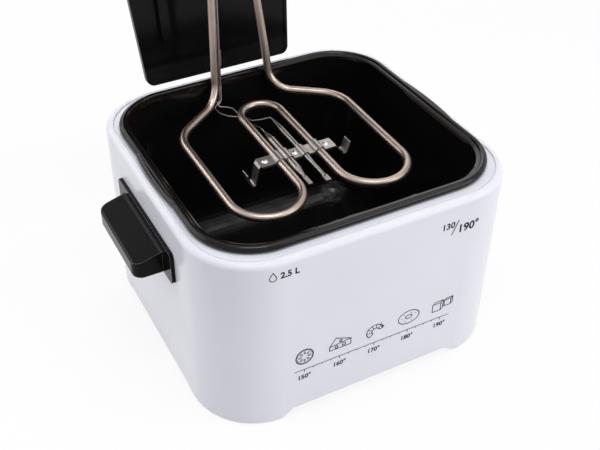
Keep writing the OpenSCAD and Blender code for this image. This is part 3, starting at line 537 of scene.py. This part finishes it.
dial = []
for i, number in enumerate((0, *range(130, 200, 10))):
    a = -math.radians(FIRST_TURN + (i - 1) * NEXT_TURN) if i else 0.0
    dial.append(turned(moved(words(str(number), size=4.2, bold=0.1), 0, NUMBER_R), a))
    dial.append(turned(stroke([(0, TICK_IN), (0, TICK_OUT)], 0.5), a))
printed("dial_numbers", joined(dial), on_dial, "control_head", ink)
printed("knob_pointer", stroke([(0, POINTER_IN), (0, POINTER_OUT)], 1.4), on_knob, "knob", mark)


# ---------------------------------------------------------------- the stage
WHITE = (1, 1, 1)
FLOOR_SIZE, FLOOR_Z = 40.0, -0.0002
FLOOR_COLOUR = (0.86, 0.86, 0.87)
FLOOR_WHITE = 0.88     # the share of the floor's look that is plain white; the rest takes the shadow
WORLD_COLOUR, WORLD_LIGHT = (0.97, 0.98, 1.0), 0.36


def plane(name, size, z):
    me = bpy.data.meshes.new(name)
    h = size / 2
    me.from_pydata([(-h, -h, z), (h, -h, z), (h, h, z), (-h, h, z)], [], [(0, 1, 2, 3)])
    o = bpy.data.objects.new(name, me)
    SCENE.collection.objects.link(o)
    return o


def seen_rays(tree):
    """1 for camera, glossy and transmission rays, and 0 for the rays that light things."""
    path = tree.nodes.new("ShaderNodeLightPath")
    total = path.outputs["Is Camera Ray"]
    for name in ("Is Glossy Ray", "Is Transmission Ray"):
        n = add(tree, "ShaderNodeMath", total, path.outputs[name])
        n.operation = "ADD"
        n.use_clamp = True
        total = n.outputs[0]
    return total


def blended(tree, factor, a, b, out):
    """Mixes two shader nodes into a new output node."""
    n = add(tree, "ShaderNodeMixShader", factor, a.outputs[0], b.outputs[0])
    add(tree, out, n.outputs[0])


floor = plane("floor", FLOOR_SIZE, FLOOR_Z)
floor_mat = bpy.data.materials.new("floor_white")
floor_mat.use_nodes = True
tree = floor_mat.node_tree
tree.nodes.clear()
white_share = add(tree, "ShaderNodeMath", seen_rays(tree), FLOOR_WHITE)
white_share.operation = "MULTIPLY"
shaded = add(tree, "ShaderNodeBsdfDiffuse", Color=FLOOR_COLOUR)
plain = add(tree, "ShaderNodeEmission", Color=WHITE, Strength=1.0)
blended(tree, white_share.outputs[0], shaded, plain, "ShaderNodeOutputMaterial")
floor.data.materials.append(floor_mat)

world = bpy.data.worlds.new("studio")
SCENE.world = world
world.use_nodes = True
tree = world.node_tree
tree.nodes.clear()
lighting = add(tree, "ShaderNodeBackground", Color=WORLD_COLOUR, Strength=WORLD_LIGHT)
backdrop = add(tree, "ShaderNodeBackground", Color=WHITE, Strength=1.0)
blended(tree, seen_rays(tree), lighting, backdrop, "ShaderNodeOutputWorld")


def area(name, place, aim, size, watts, along=None):
    """A soft lamp aimed at a point; along says which way its long side lies."""
    d = bpy.data.lights.new(name, "AREA")
    d.shape = "RECTANGLE"
    d.size, d.size_y = size
    d.energy = watts
    o = bpy.data.objects.new(name, d)
    SCENE.collection.objects.link(o)
    o.location = place
    away = (Vector(place) - Vector(aim)).normalized()
    if along is None:
        o.rotation_euler = away.to_track_quat("Z", "Y").to_euler()
    else:
        x = (Vector(along) - away * away.dot(Vector(along))).normalized()
        o.rotation_euler = Matrix((x, away.cross(x), away)).transposed().to_euler()


# Name, place, aim and size in m, watts, and for a long lamp the way it lies
LAMPS = (
    ("key_top", (0.15, -0.2, 1.6), (0, 0, 0.1), (1.6, 1.4), 4.0),
    ("front_fill", (1.25, -1.5, 0.8), (0, 0, 0.1), (1.4, 1.1), 15.5),
    ("left_fill", (-1.6, 0.9, 0.7), (0, 0, 0.1), (1.4, 1.2), 9),
    ("glint", (-0.15, -0.35, 1.5), (0, -0.05, 0.15), (0.55, 0.22), 4.8, (1, -0.3, 0)),
    ("front_strip", (0.40, -0.35, 1.35), (0, -0.12, 0.15), (1.0, 0.12), 3.2, (1, 0, 0)),
    ("left_strip", (-0.55, 0.85, 0.95), (-0.12, 0, 0.15), (1.0, 0.07), 3.0, (0, 1, 0)),
    ("back_right", (0.7, 1.6, 1.0), (0, 0, 0.15), (1.2, 1.0), 5),
)
for lamp in LAMPS:
    area(*lamp)


# ---------------------------------------------------------------- the camera
WIDTH, HEIGHT = 600, 450                  # the image, in pixels
FOCAL = 917.934                           # focal length, in pixels
CENTRE = (259.615, 218.411)               # where the optical axis meets the image
PLACE = (-279.16, -511.704, 531.857)      # mm from the middle of the housing
AZIMUTH, ELEVATION, ROLL = (math.radians(v) for v in (-25.715, 37.995, -1.121))

back = Vector((math.sin(AZIMUTH) * math.cos(ELEVATION), -math.cos(AZIMUTH) * math.cos(ELEVATION),
               math.sin(ELEVATION)))
side = Vector((math.cos(AZIMUTH), math.sin(AZIMUTH), 0))
upward = back.cross(side)
right = side * math.cos(ROLL) + upward * math.sin(ROLL)
up = upward * math.cos(ROLL) - side * math.sin(ROLL)
cam = bpy.data.cameras.new("camera")
cam.sensor_fit = "HORIZONTAL"
cam.sensor_width = 36.0
cam.lens = FOCAL / WIDTH * cam.sensor_width
cam.shift_x = (WIDTH / 2 - CENTRE[0]) / WIDTH
cam.shift_y = (CENTRE[1] - HEIGHT / 2) / WIDTH
cam.clip_start, cam.clip_end = 0.02, 50
camera = bpy.data.objects.new("camera", cam)
SCENE.collection.objects.link(camera)
camera.matrix_world = Matrix.Translation(at(*PLACE)) @ Matrix((right, up, back)).transposed().to_4x4()
SCENE.camera = camera
SCENE.view_settings.view_transform = "Standard"

bpy.context.view_layer.update()
